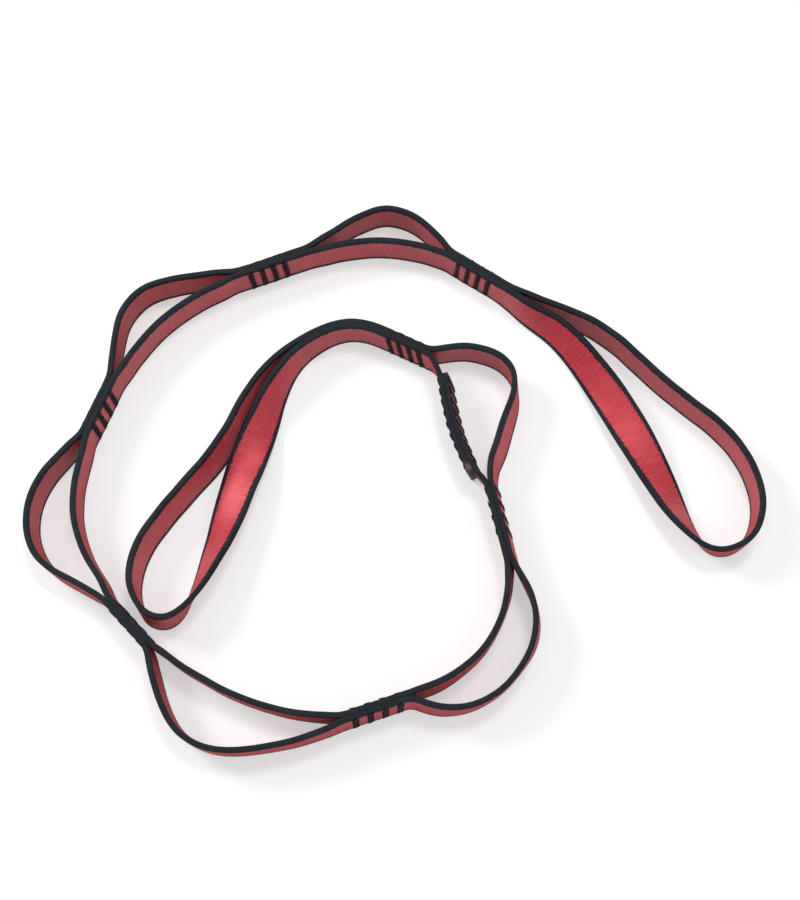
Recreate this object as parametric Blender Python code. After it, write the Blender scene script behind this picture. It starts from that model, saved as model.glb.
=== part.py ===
"""Hammock extension strap: a daisy chain of woven webbing, in metres, +Z up.

One length of flat webbing is laid double. Its outer strand is longer than its base strand, and
four bar tacks at each of seven joints sew the two together, which leaves six pockets along the
strap and a long loop at each end. The webbing's two ends lap in a splice between joints F and G.

The strap stands on its edge on a level surface, bent into an open ring, with a half twist in the
inner strand of each end loop.
"""

import math
from typing import NamedTuple

import bmesh
import bpy
from mathutils import Matrix, Vector

for item in list(bpy.data.objects):
    bpy.data.objects.remove(item, do_unlink=True)

# The webbing
WEB_WIDTH = 0.016
WEB_THICKNESS = 0.0024
EDGE_ROUNDING = 0.0007
EDGE_FLAT_SHARE = 0.6
STRAND_GAP = 0.0006

# The mean distance between joints, which sets the plan that the strap is laid in
JOINT_PITCH = 0.100

# The bar tacks of the joints and of the splice, whose spacing follows the joint pitch as its length does
TACKS_PER_JOINT = 4
TACK_SPACING = 0.0055
SPLICE_TACKS = 9
SPLICE_SPACING_SHARE = 0.050
TACK_WIDTH = 0.0019
TACK_THREAD = 0.00045
TACK_SETBACK = 0.0006
TACK_CORNER_SHARE = 0.3

# The stitches that pass through both strands under each tack, and their places along its half length
STITCH_RADIUS = 0.0004
STITCH_SIDES = 6
STITCH_PLACE_SHARES = (-0.6, 0.6)

# The clearances of a tack to the webbing, and what a cutter runs past what it cuts
SEAT_GAP = 0.0003
CUT_OVERRUN = 0.0002
MERGE_DISTANCE = 0.00001

# The strands stay side by side for this length past the outer tacks
LEAD_LENGTH = 0.003

# The middle of the webbing sinks no lower than this share of its width where it lies over
SAG_SHARE = 0.406

# The sweep that makes the webbing has a station at each step, or sooner where it turns
STATION_STEP = 0.0075
STATION_TURN = math.radians(13)
STEPS_PER_SPAN = 12

HALF_TURN = math.pi


class Joint(NamedTuple):
    """A sewn joint on the plan, where the base strand and the outer strand lie side by side."""

    across_share: float
    along_share: float
    heading: float
    outer_side: int
    lean: float
    row_share: float
    spacing_share: float


# Each joint's place as shares of the joint pitch, the direction of its seam in degrees from +X, the
# side of the outer strand (1 is left of the heading), how far its top leans left, in degrees, how far
# along the seam its row of tacks was sewn, as a share of the pitch, and its share of the usual spacing
JOINT_SHARES = {
    "a": Joint(0.317, 0.898, -34, 1, 0, 0.021, 0.95),
    "b": Joint(-0.540, 0.930, 21, 1, 0, -0.057, 0.97),
    "c": Joint(-1.293, 0.212, 69, 1, 0, 0.014, 0.98),
    "d": Joint(-1.098, -0.688, -46, -1, 0, 0.022, 1.00),
    "e": Joint(-0.085, -1.034, 18.5, -1, 0, -0.008, 1.12),
    "f": Joint(0.424, -0.280, 103, -1, 9, 0.058, 1.11),
    "g": Joint(-0.004, 0.546, -26, 1, 0, 0.038, 0.88),
}

# The free runs of the webbing between its seams, in the order that it travels. Each point is a place
# on the plan, as shares of the joint pitch, and a roll in degrees. The first edge is on top at a roll
# of 0 and the second at -180, and a roll above either leans the top left of the way it travels.
SPLICE_SHARES = [
    (0.313, -0.050, 8), (0.287, 0.017, 9), (0.245, 0.130, 9), (0.217, 0.252, 9), (0.197, 0.378, 9),
]
SPLICE_TO_G_SHARES = [(0.153, 0.446, 6)]
LOOP_TWO_SHARES = [
    (-0.200, 0.601, 0), (-0.300, 0.582, -3), (-0.400, 0.518, -8), (-0.483, 0.432, -16),
    (-0.542, 0.323, -30), (-0.588, 0.193, -50), (-0.631, 0.063, -75), (-0.673, -0.070, -103),
    (-0.713, -0.210, -126), (-0.753, -0.340, -143), (-0.797, -0.460, -156), (-0.838, -0.560, -166),
    (-0.885, -0.640, -177), (-0.950, -0.686, -186), (-1.023, -0.667, -187), (-1.072, -0.595, -180),
    (-1.092, -0.510, -173), (-1.066, -0.380, -168), (-0.983, -0.242, -166), (-0.880, -0.108, -165),
    (-0.780, 0.021, -163), (-0.703, 0.152, -160), (-0.640, 0.287, -160), (-0.558, 0.412, -164),
    (-0.450, 0.524, -171), (-0.322, 0.606, -178), (-0.200, 0.631, -180),
]
POCKET_SIX_SHARES = [
    (0.195, 0.501, -180), (0.290, 0.511, -180), (0.415, 0.478, -180), (0.490, 0.400, -183),
    (0.500, 0.305, -190), (0.463, 0.180, -197), (0.423, 0.050, -198), (0.396, -0.020, -195),
]
POCKET_FIVE_SHARES = [
    (0.491, -0.475, -186), (0.536, -0.565, -187), (0.556, -0.660, -189), (0.546, -0.752, -188),
    (0.493, -0.858, -182), (0.405, -0.956, -179), (0.287, -1.022, -178), (0.155, -1.036, -179),
]
POCKET_FOUR_SHARES = [
    (-0.280, -1.118, -180), (-0.420, -1.162, -180), (-0.565, -1.190, -180), (-0.705, -1.194, -180),
    (-0.810, -1.164, -180), (-0.886, -1.100, -180), (-0.940, -1.005, -179), (-0.976, -0.900, -178),
]
POCKET_THREE_SHARES = [
    (-1.230, -0.585, -181), (-1.320, -0.532, -182), (-1.418, -0.478, -180), (-1.486, -0.416, -177),
    (-1.528, -0.320, -177), (-1.532, -0.190, -177), (-1.487, -0.070, -177), (-1.406, 0.040, -179),
]
POCKET_TWO_SHARES = [
    (-1.246, 0.420, -180), (-1.238, 0.550, -179), (-1.214, 0.680, -178), (-1.138, 0.780, -178),
    (-1.015, 0.830, -179), (-0.870, 0.856, -180), (-0.740, 0.875, -180),
]
POCKET_ONE_SHARES = [
    (-0.325, 1.053, -180), (-0.205, 1.137, -180), (-0.075, 1.190, -180), (0.050, 1.160, -180),
    (0.155, 1.067, -180),
]
LOOP_ONE_SHARES = [
    (0.470, 0.814, -180), (0.588, 0.747, -178), (0.710, 0.694, -179), (0.838, 0.634, -178),
    (0.947, 0.550, -178), (1.046, 0.446, -178), (1.146, 0.341, -178), (1.256, 0.242, -178),
    (1.367, 0.140, -178), (1.447, 0.030, -179), (1.495, -0.105, -179), (1.495, -0.240, -179),
    (1.443, -0.342, -179), (1.362, -0.388, -177), (1.275, -0.377, -166), (1.200, -0.290, -149),
    (1.140, -0.170, -128), (1.083, -0.045, -111), (1.030, 0.073, -95), (0.968, 0.196, -77),
    (0.898, 0.326, -58), (0.830, 0.435, -42), (0.756, 0.540, -32), (0.670, 0.626, -24),
    (0.566, 0.699, -12), (0.474, 0.770, -4),
]
BASE_AB_SHARES = [(0.110, 0.996, 0), (-0.025, 1.022, 0), (-0.160, 1.024, 0), (-0.300, 0.998, 0)]
BASE_BC_SHARES = [
    (-0.740, 0.838, 0), (-0.860, 0.776, 0), (-0.973, 0.698, 0), (-1.070, 0.603, 0),
    (-1.150, 0.493, 0), (-1.207, 0.395, 0),
]
BASE_CD_SHARES = [
    (-1.340, 0.000, 0), (-1.356, -0.140, 0), (-1.340, -0.275, 0), (-1.290, -0.405, 0),
    (-1.220, -0.515, 0),
]
BASE_DE_SHARES = [
    (-0.917, -0.834, 0), (-0.802, -0.908, 0), (-0.672, -0.974, 0), (-0.537, -1.025, 0),
    (-0.397, -1.057, 0), (-0.280, -1.065, 0),
]
BASE_EF_SHARES = [
    (0.130, -0.950, 1), (0.243, -0.886, 1), (0.340, -0.792, 1), (0.409, -0.675, 2),
    (0.443, -0.560, 5), (0.446, -0.448, 8),
]


def route_points(shares):
    """Route points of (x, y, roll), in metres and radians, from a table of shares and degrees."""
    return [(x * JOINT_PITCH, y * JOINT_PITCH, math.radians(roll)) for x, y, roll in shares]


def section():
    """The webbing's cross-section as (thickness, width) points, with its edges rounded."""
    face = WEB_THICKNESS / 2
    edge = WEB_WIDTH / 2
    flat = face * EDGE_FLAT_SHARE
    top = [(face, edge - EDGE_ROUNDING), (flat, edge), (-flat, edge), (-face, edge - EDGE_ROUNDING)]
    return top + [(-x, -y) for x, y in top]


def rest_height(roll):
    """How high the middle of the webbing is when its lowest edge touches the surface."""
    lowest = max(abs(x * math.sin(roll) + y * math.cos(roll)) for x, y in section())
    return max(lowest, SAG_SHARE * WEB_WIDTH)


def smooth(points):
    """A centripetal curve through points of (x, y, roll)."""
    points = [Vector(point) for point in points]
    points = [2 * points[0] - points[1], *points, 2 * points[-1] - points[-2]]
    curve = []
    for p0, p1, p2, p3 in zip(points, points[1:], points[2:], points[3:]):
        t1 = math.sqrt((p1 - p0).xy.length)
        t2 = t1 + math.sqrt((p2 - p1).xy.length)
        t3 = t2 + math.sqrt((p3 - p2).xy.length)
        for step in range(STEPS_PER_SPAN):
            t = t1 + (t2 - t1) * step / STEPS_PER_SPAN
            a1 = p0.lerp(p1, t / t1)
            a2 = p1.lerp(p2, (t - t1) / (t2 - t1))
            a3 = p2.lerp(p3, (t - t2) / (t3 - t2))
            b1 = a1.lerp(a2, t / t2)
            b2 = a2.lerp(a3, (t - t1) / (t3 - t1))
            curve.append(b1.lerp(b2, (t - t1) / (t2 - t1)))
    return curve + [points[-2]]


def stations(curve):
    """The curve's points that the sweep keeps: one at each step, or sooner where it turns or rolls."""
    kept = [curve[0]]
    length = 0.0
    turned = 0.0
    for before, here, after in zip(curve, curve[1:], curve[2:]):
        length += (here - before).xy.length
        turned += abs((after - here).xy.angle_signed((here - before).xy)) + abs(here.z - before.z)
        if length >= STATION_STEP or turned >= STATION_TURN:
            kept.append(here)
            length = 0.0
            turned = 0.0
    if length < STATION_STEP / 2 and len(kept) > 1:
        kept.pop()
    return kept + [curve[-1]]


def directions(points):
    """The unit direction of travel at each point of a route."""
    ahead = [*points[1:], points[-1]]
    behind = [points[0], *points[:-1]]
    return [(there - here).xy.normalized() for here, there in zip(behind, ahead)]


def tack_spacing(joint):
    """The distance between the tacks of a joint."""
    return TACK_SPACING * joint.spacing_share


def seam_ends(joint):
    """Where a joint's seam starts and ends, along its heading from the joint's own place."""
    row = JOINT_PITCH * joint.row_share
    reach = ((TACKS_PER_JOINT - 1) * tack_spacing(joint) + TACK_WIDTH) / 2 + LEAD_LENGTH
    return min(0, row) - reach, max(0, row) + reach


def joint_seam(joint):
    """The middle line of a joint, which runs a lead past its place and its row of tacks."""
    heading = math.radians(joint.heading)
    along = Vector((math.cos(heading), math.sin(heading)))
    middle = Vector((joint.across_share, joint.along_share)) * JOINT_PITCH
    start, end = seam_ends(joint)
    places = (start, start + LEAD_LENGTH, 0, end - LEAD_LENGTH, end)
    return [(*(middle + place * along), math.radians(joint.lean)) for place in places]


def strand(seam, side):
    """One of a seam's two strands: side is 1 left of the seam's middle line and -1 right of it."""
    points = [Vector(point) for point in seam]
    found = []
    for point, along in zip(points, directions(points)):
        left = Vector((-along.y, along.x))
        offset = side * (WEB_THICKNESS + STRAND_GAP) / 2 / math.cos(point.z)
        found.append((*(point.xy + offset * left), point.z))
    return found


def turned_back(points):
    """The same strand travelled the other way, so that its lean changes sides."""
    return [(x, y, -lean) for x, y, lean in reversed(points)]


def base_strand(name, back):
    """The base strand through a joint, with the webbing's first edge on top."""
    joint = JOINT_SHARES[name]
    points = strand(joint_seam(joint), -joint.outer_side)
    return turned_back(points) if back else points


def outer_strand(name, back):
    """The outer strand through a joint, with the webbing's second edge on top."""
    joint = JOINT_SHARES[name]
    points = strand(joint_seam(joint), joint.outer_side)
    points = turned_back(points) if back else points
    return [(x, y, lean - HALF_TURN) for x, y, lean in points]


def webbing_route():
    """The whole way that the webbing takes, from its first cut end to its second."""
    splice = route_points(SPLICE_SHARES)
    return [
        *strand(splice, 1),
        *route_points(SPLICE_TO_G_SHARES),
        *base_strand("g", back=True),
        *route_points(LOOP_TWO_SHARES),
        *outer_strand("g", back=False),
        *route_points(POCKET_SIX_SHARES),
        *outer_strand("f", back=True),
        *route_points(POCKET_FIVE_SHARES),
        *outer_strand("e", back=True),
        *route_points(POCKET_FOUR_SHARES),
        *outer_strand("d", back=True),
        *route_points(POCKET_THREE_SHARES),
        *outer_strand("c", back=False),
        *route_points(POCKET_TWO_SHARES),
        *outer_strand("b", back=False),
        *route_points(POCKET_ONE_SHARES),
        *outer_strand("a", back=False),
        *route_points(LOOP_ONE_SHARES),
        *base_strand("a", back=True),
        *route_points(BASE_AB_SHARES),
        *base_strand("b", back=True),
        *route_points(BASE_BC_SHARES),
        *base_strand("c", back=True),
        *route_points(BASE_CD_SHARES),
        *base_strand("d", back=False),
        *route_points(BASE_DE_SHARES),
        *base_strand("e", back=False),
        *route_points(BASE_EF_SHARES),
        *base_strand("f", back=False),
        *strand(splice, -1),
    ]


def material(name, colour, roughness):
    """A Principled material for one piece."""
    made = bpy.data.materials.new(name)
    made.use_nodes = True
    shader = made.node_tree.nodes["Principled BSDF"]
    shader.inputs["Base Color"].default_value = (*colour, 1.0)
    shader.inputs["Roughness"].default_value = roughness
    shader.inputs["Metallic"].default_value = 0.0
    return made


def link(name, data):
    """A new object in the scene."""
    made = bpy.data.objects.new(name, data)
    bpy.context.scene.collection.objects.link(made)
    return made


def helper(name, data):
    """A guide or a cutter, which isn't part of the strap."""
    made = link(name, data)
    made.hide_render = True
    made.display_type = "WIRE"
    return made


def mesh_of(name, shape):
    """A mesh from a finished bmesh, with its faces pointing out."""
    bmesh.ops.recalc_face_normals(shape, faces=shape.faces)
    mesh = bpy.data.meshes.new(name)
    shape.to_mesh(mesh)
    shape.free()
    return mesh


def evaluated_mesh(item):
    """A new mesh of what an object shows, with its curve or its modifiers worked out."""
    bpy.context.view_layer.update()
    graph = bpy.context.evaluated_depsgraph_get()
    return bpy.data.meshes.new_from_object(item.evaluated_get(graph))


def boolean(item, operation, other):
    """A Boolean modifier."""
    modifier = item.modifiers.new(other.name, "BOOLEAN")
    modifier.operation = operation
    modifier.object = other


def poly_spline(data, points):
    """A straight-sided spline through points of (x, y, z)."""
    spline = data.splines.new("POLY")
    spline.points.add(len(points) - 1)
    for target, point in zip(spline.points, points):
        target.co = (*point, 1)
    return spline


def section_guide():
    """The webbing's cross-section as the guide that the sweep follows."""
    data = bpy.data.curves.new("webbing_section", "CURVE")
    data.dimensions = "2D"
    spline = poly_spline(data, [(x, y, 0) for x, y in section()])
    spline.use_cyclic_u = True
    return helper("webbing_section", data)


def swept_webbing():
    """The webbing's section swept along its route and turned by each station's roll."""
    data = bpy.data.curves.new("webbing_sweep", "CURVE")
    data.dimensions = "3D"
    data.twist_mode = "Z_UP"
    data.bevel_mode = "OBJECT"
    data.bevel_object = section_guide()
    data.use_fill_caps = True
    route = stations(smooth(webbing_route()))
    spline = poly_spline(data, [(x, y, rest_height(roll)) for x, y, roll in route])
    for point, place in zip(spline.points, route):
        point.tilt = -place.z
    sweep = helper("webbing_sweep", data)
    shape = bmesh.new()
    shape.from_mesh(evaluated_mesh(sweep))
    bmesh.ops.remove_doubles(shape, verts=shape.verts, dist=MERGE_DISTANCE)
    return mesh_of("webbing", shape)


def webbing(holes):
    """The webbing, pierced where the stitches pass through it."""
    made = link("webbing", swept_webbing())
    made.data.materials.append(material("red_webbing", (0.58, 0.053, 0.070), 0.75))
    boolean(made, "DIFFERENCE", holes)


def length_of(seam):
    """The length of a seam's curve."""
    curve = smooth(seam)
    return sum((there - here).xy.length for here, there in zip(curve, curve[1:]))


def tack_frame(seam, target):
    """Where a tack sits, that far along a seam: X runs along it, Y up the webbing and Z to the left."""
    curve = smooth(seam)
    for here, there in zip(curve, curve[1:]):
        span = (there - here).xy.length
        if target <= span:
            break
        target -= span
    point = here.lerp(there, target / span)
    along = (there - here).xy.normalized().to_3d()
    up = Vector((0, 0, 1))
    left = up.cross(along)
    wide = math.cos(point.z) * up + math.sin(point.z) * left
    axes = Matrix((along, wide, along.cross(wide))).transposed().to_4x4()
    return Matrix.Translation((point.x, point.y, rest_height(point.z))) @ axes


def row_frames(name, seam, middle, count, spacing):
    """The name and frame of each tack in a row, whose middle is that far along its seam."""
    places = [middle + (number - (count - 1) / 2) * spacing for number in range(count)]
    return {f"{name}_{number}": tack_frame(seam, place) for number, place in enumerate(places, 1)}


def joint_tacks(name):
    """The name and frame of each tack of a joint."""
    joint = JOINT_SHARES[name]
    middle = JOINT_PITCH * joint.row_share - seam_ends(joint)[0]
    return row_frames(f"tack_{name}", joint_seam(joint), middle, TACKS_PER_JOINT, tack_spacing(joint))


def splice_tacks():
    """The name and frame of each tack of the splice."""
    seam = route_points(SPLICE_SHARES)
    spacing = JOINT_PITCH * SPLICE_SPACING_SHARE
    return row_frames("splice_tack", seam, length_of(seam) / 2, SPLICE_TACKS, spacing)


def tack_frames():
    """The name and frame of every tack."""
    frames = splice_tacks()
    for name in JOINT_SHARES:
        frames |= joint_tacks(name)
    return frames


def add_stitches(shape, radius, reach, frame):
    """The stitches under one tack, as rods that reach this far to each side of its seam."""
    half_length = WEB_WIDTH / 2 - TACK_SETBACK
    for share in STITCH_PLACE_SHARES:
        place = Matrix.Translation((0, share * half_length, 0))
        bmesh.ops.create_cone(
            shape, cap_ends=True, segments=STITCH_SIDES, radius1=radius, radius2=radius,
            depth=2 * reach, matrix=frame @ place,
        )


def stitch_holes(frames):
    """The cutter for the holes that the stitches leave in both strands."""
    shape = bmesh.new()
    reach = STRAND_GAP / 2 + WEB_THICKNESS + CUT_OVERRUN
    for frame in frames:
        add_stitches(shape, STITCH_RADIUS + SEAT_GAP, reach, frame)
    return helper("stitch_holes", mesh_of("stitch_holes", shape))


def bevel(shape, edges, offset):
    """A flat chamfer of the given width along some edges."""
    bmesh.ops.bevel(shape, geom=edges, offset=offset, segments=1, profile=0.5, affect="EDGES")


def add_bar(shape, side):
    """One raised bar of zigzag thread, seated on the outside face of one strand."""
    seat = STRAND_GAP / 2 + WEB_THICKNESS + SEAT_GAP
    middle = seat + TACK_THREAD / 2
    size = Matrix.Diagonal((TACK_WIDTH, WEB_WIDTH - 2 * TACK_SETBACK, TACK_THREAD, 1))
    place = Matrix.Translation((0, 0, side * middle))
    verts = bmesh.ops.create_cube(shape, size=1, matrix=place @ size)["verts"]
    edges = {edge for vert in verts for edge in vert.link_edges}
    bevel(shape, [edge for edge in edges if is_upright(edge)], TACK_WIDTH * TACK_CORNER_SHARE)
    rim = [edge for edge in shape.edges if all(side * vert.co.z > middle for vert in edge.verts)]
    bevel(shape, rim, TACK_THREAD * TACK_CORNER_SHARE)


def is_upright(edge):
    """Whether an edge of a bar stands off the webbing."""
    first, second = edge.verts
    return abs(first.co.z - second.co.z) > TACK_THREAD / 2


def tack_mesh():
    """A bar tack: a raised bar on the outside of each strand, joined by the stitches through both."""
    shape = bmesh.new()
    for side in (1, -1):
        add_bar(shape, side)
    bars = helper("tack_bars", mesh_of("tack_bars", shape))
    shape = bmesh.new()
    reach = STRAND_GAP / 2 + WEB_THICKNESS + SEAT_GAP + TACK_THREAD / 2
    add_stitches(shape, STITCH_RADIUS, reach, Matrix.Identity(4))
    boolean(bars, "UNION", helper("tack_stitches", mesh_of("tack_stitches", shape)))
    return evaluated_mesh(bars)


def tacks(frames):
    """One object for each bar tack."""
    pattern = tack_mesh()
    for name, frame in frames.items():
        made = link(name, pattern.copy())
        made.data.materials.append(material(f"black_thread_{name}", (0.026, 0.036, 0.043), 0.6))
        made.matrix_world = frame


def centre_on_origin():
    """Moves the strap so that its footprint is centred on the origin and it stands on z = 0."""
    corners = []
    for item in bpy.context.scene.objects:
        if not item.hide_render:
            corners += [item.matrix_world @ vertex.co for vertex in evaluated_mesh(item).vertices]
    low = Vector([min(corner[axis] for corner in corners) for axis in range(3)])
    high = Vector([max(corner[axis] for corner in corners) for axis in range(3)])
    middle = (low + high) / 2
    for item in bpy.context.scene.objects:
        item.location -= Vector((middle.x, middle.y, low.z))


def build():
    """Builds the webbing and its bar tacks."""
    frames = tack_frames()
    webbing(stitch_holes(frames.values()))
    tacks(frames)
    centre_on_origin()


build()
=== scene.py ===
"""Hammock extension strap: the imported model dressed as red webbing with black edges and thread."""

import logging
import math
import random
from collections.abc import Iterable, Sequence
from dataclasses import dataclass, field, replace
from enum import Enum
from typing import Any, NamedTuple

import bmesh
import bpy
from mathutils import Matrix, Vector, kdtree, noise


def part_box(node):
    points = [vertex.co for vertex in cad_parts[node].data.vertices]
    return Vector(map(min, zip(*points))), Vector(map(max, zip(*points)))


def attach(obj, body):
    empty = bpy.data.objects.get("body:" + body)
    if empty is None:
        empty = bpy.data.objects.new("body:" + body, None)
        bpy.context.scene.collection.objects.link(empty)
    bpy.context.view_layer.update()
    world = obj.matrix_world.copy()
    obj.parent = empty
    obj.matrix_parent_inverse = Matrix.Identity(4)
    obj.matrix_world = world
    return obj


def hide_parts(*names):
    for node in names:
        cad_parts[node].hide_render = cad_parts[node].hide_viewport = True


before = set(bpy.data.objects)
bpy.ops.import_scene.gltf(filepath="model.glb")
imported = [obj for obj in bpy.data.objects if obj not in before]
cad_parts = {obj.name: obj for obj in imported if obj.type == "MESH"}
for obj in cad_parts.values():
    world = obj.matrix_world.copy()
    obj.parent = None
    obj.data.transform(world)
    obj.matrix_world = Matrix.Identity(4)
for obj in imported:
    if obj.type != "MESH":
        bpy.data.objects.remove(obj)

LOG = logging.getLogger("strap")
ROOT_BODY = "root"
PLACE_ATTRIBUTE = "cloth_place"
PLY_ATTRIBUTE = "ply_place"
SENSOR_WIDTH = 36.0
# Where the webbing's two noises are read: its stray to a side, and the teeth of its two yarns.
STRAY_SEED = (3.7, 1.3)
TOOTH_STEP = 0.9
TOOTH_SPREAD = 999

Colour = tuple[float, float, float]
RoutePoint = tuple[float, float, float]
Span = tuple[float, float]
Material = bpy.types.Material
Node = bpy.types.Node
Object = bpy.types.Object
Outputs = bpy.types.bpy_prop_collection
Shape = bmesh.types.BMesh
Socket = bpy.types.NodeSocket


class Slot(Enum):
    """The record's material slots."""

    WEBBING = "webbing"
    THREAD = "thread"


class Yarn(Enum):
    """Which yarn shows on a face of the webbing, as an index of its material slots."""

    BODY = 0
    SELVEDGE = 1


class Strand(Enum):
    """A seam's strands, by the side of its middle line that they lie on."""

    LEFT = 1
    RIGHT = -1

    @property
    def other(self) -> "Strand":
        """The strand across the seam."""
        return Strand(-self.value)


class CutEnd(Enum):
    """How an end of the webbing was finished."""

    SINGED = "singed"
    FUSED = "fused"


class Joint(NamedTuple):
    """A sewn joint on the plan, in shares of the joint pitch and degrees.

    row_share is how far along the seam its tacks were sewn, and spacing_share is its own share of the
    usual spacing. slant is how far its tacks are turned from square to the webbing's length.
    """

    across_share: float
    along_share: float
    heading: float
    outer: Strand
    lean: float
    row_share: float
    spacing_share: float
    slant: float = 0


class Leg(NamedTuple):
    """A strand through a joint and the free webbing after it, up to the next joint.

    outer says whether it is the joint's outer strand, which has the second edge on top, and back
    whether the webbing travels against the joint's heading.
    """

    joint: str
    outer: bool
    back: bool
    shares: tuple[RoutePoint, ...] = ()


@dataclass(frozen=True)
class Station:
    """A place along the webbing, with its own axes."""

    place: Vector  # The middle of the section
    along: Vector  # The way that the webbing travels
    wide: Vector  # From the second edge to the first
    thick: Vector  # From the right face to the left one
    travelled: float  # The webbing's length up to here

    def at(self, thickness: float, width: float) -> Vector:
        """The point of the section that far along its thickness and its width."""
        return self.place + thickness * self.thick + width * self.wide

    def turned(self, angle: float) -> "Station":
        """The station turned about its thickness by an angle in radians."""
        turn = Matrix.Rotation(angle, 3, self.thick)
        return replace(self, along=turn @ self.along, wide=turn @ self.wide)

    def matrix(self) -> Matrix:
        """The station's axes and place as a transform."""
        axes = Matrix((self.along, self.wide, self.thick)).transposed().to_4x4()
        return Matrix.Translation(self.place) @ axes


JOINT_SHARES = {
    "a": Joint(0.317, 0.898, -34, Strand.LEFT, 0, 0.021, 0.95, -4),
    "b": Joint(-0.54, 0.93, 21, Strand.LEFT, 0, -0.057, 0.97, 3),
    "c": Joint(-1.293, 0.212, 69, Strand.LEFT, 0, 0.014, 0.98),
    "d": Joint(-1.098, -0.688, -46, Strand.RIGHT, 0, 0.022, 1.00),
    "e": Joint(-0.085, -1.034, 18.5, Strand.RIGHT, 5, -0.008, 1.12, -2),
    "f": Joint(0.424, -0.28, 103, Strand.RIGHT, 13, 0.058, 1.11),
    "g": Joint(-0.004, 0.546, -26, Strand.LEFT, 0, 0.038, 0.88, 9),
}
SPLICE_SHARES = (
    (0.313, -0.05, 12), (0.287, 0.017, 14), (0.245, 0.13, 14), (0.217, 0.252, 13), (0.197, 0.378, 12),
)
SPLICE_TO_G_SHARES = ((0.153, 0.446, 7),)
LEGS = (
    Leg("g", False, True, (  # End loop 2, with the half twist first
        (-0.2, 0.601, 0), (-0.3, 0.582, -3), (-0.4, 0.518, -8), (-0.483, 0.432, -16),
        (-0.542, 0.323, -30), (-0.588, 0.193, -50), (-0.631, 0.063, -75), (-0.673, -0.07, -103),
        (-0.713, -0.21, -116), (-0.753, -0.34, -133), (-0.797, -0.46, -148), (-0.838, -0.56, -161),
        (-0.885, -0.64, -175), (-0.95, -0.686, -185), (-1.023, -0.667, -187), (-1.072, -0.595, -180),
        (-1.092, -0.51, -173), (-1.066, -0.38, -168), (-0.983, -0.242, -166), (-0.88, -0.108, -165),
        (-0.78, 0.021, -163), (-0.703, 0.152, -160), (-0.64, 0.287, -160), (-0.558, 0.412, -164),
        (-0.45, 0.524, -171), (-0.322, 0.606, -178), (-0.2, 0.631, -180),
    )),
    Leg("g", True, False, (  # Pocket 6
        (0.195, 0.501, -180), (0.29, 0.511, -180), (0.415, 0.478, -180), (0.49, 0.4, -183),
        (0.5, 0.305, -190), (0.463, 0.18, -197), (0.423, 0.05, -198), (0.396, -0.02, -195),
    )),
    Leg("f", True, True, (  # Pocket 5
        (0.491, -0.475, -190), (0.536, -0.565, -188), (0.556, -0.66, -189), (0.546, -0.752, -188),
        (0.493, -0.858, -182), (0.405, -0.956, -179), (0.287, -1.022, -180), (0.155, -1.036, -184),
    )),
    Leg("e", True, True, (  # Pocket 4
        (-0.28, -1.118, -183), (-0.42, -1.162, -181), (-0.565, -1.19, -180), (-0.705, -1.194, -180),
        (-0.81, -1.164, -180), (-0.886, -1.1, -180), (-0.94, -1.005, -179), (-0.976, -0.9, -178),
    )),
    Leg("d", True, True, (  # Pocket 3
        (-1.23, -0.585, -181), (-1.32, -0.532, -182), (-1.418, -0.478, -180), (-1.486, -0.416, -177),
        (-1.528, -0.32, -177), (-1.532, -0.19, -177), (-1.487, -0.07, -177), (-1.406, 0.04, -179),
    )),
    Leg("c", True, False, (  # Pocket 2
        (-1.246, 0.42, -180), (-1.238, 0.55, -179), (-1.214, 0.68, -178), (-1.138, 0.78, -178),
        (-1.015, 0.83, -179), (-0.87, 0.856, -180), (-0.74, 0.875, -180),
    )),
    Leg("b", True, False, (  # Pocket 1
        (-0.325, 1.053, -180), (-0.205, 1.137, -180), (-0.075, 1.19, -180), (0.05, 1.16, -180),
        (0.155, 1.067, -180),
    )),
    Leg("a", True, False, (  # End loop 1, with the half twist last
        (0.47, 0.814, -180), (0.588, 0.747, -178), (0.71, 0.694, -179), (0.838, 0.634, -178),
        (0.947, 0.55, -178), (1.046, 0.446, -178), (1.146, 0.341, -178), (1.256, 0.242, -178),
        (1.367, 0.14, -178), (1.447, 0.03, -179), (1.495, -0.105, -179), (1.495, -0.24, -179),
        (1.443, -0.342, -179), (1.362, -0.388, -177), (1.275, -0.377, -166), (1.2, -0.29, -149),
        (1.14, -0.17, -128), (1.083, -0.045, -111), (1.03, 0.073, -95), (0.968, 0.196, -77),
        (0.898, 0.326, -58), (0.83, 0.435, -42), (0.756, 0.54, -32), (0.67, 0.626, -24),
        (0.566, 0.699, -12), (0.474, 0.77, -4),
    )),
    Leg("a", False, True, (  # The base of the pockets, from A to B
        (0.11, 0.996, 0), (-0.025, 1.022, 0), (-0.16, 1.024, 0), (-0.3, 0.998, 0),
    )),
    Leg("b", False, True, (  # B to C
        (-0.74, 0.838, 0), (-0.86, 0.776, 0), (-0.973, 0.698, 0), (-1.07, 0.603, 0),
        (-1.15, 0.493, 0), (-1.207, 0.395, 0),
    )),
    Leg("c", False, True, (  # C to D
        (-1.34, 0.000, 0), (-1.356, -0.14, 0), (-1.34, -0.275, 0), (-1.29, -0.405, 0),
        (-1.22, -0.515, 0),
    )),
    Leg("d", False, False, (  # D to E
        (-0.917, -0.834, 0), (-0.802, -0.908, 0), (-0.672, -0.974, 0), (-0.537, -1.025, 0),
        (-0.397, -1.057, 1), (-0.28, -1.065, 3),
    )),
    Leg("e", False, False, (  # E to F
        (0.13, -0.95, 5), (0.243, -0.886, 2), (0.34, -0.792, 1), (0.409, -0.675, 2),
        (0.443, -0.56, 7), (0.446, -0.448, 12),
    )),
    Leg("f", False, False),
)


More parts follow.
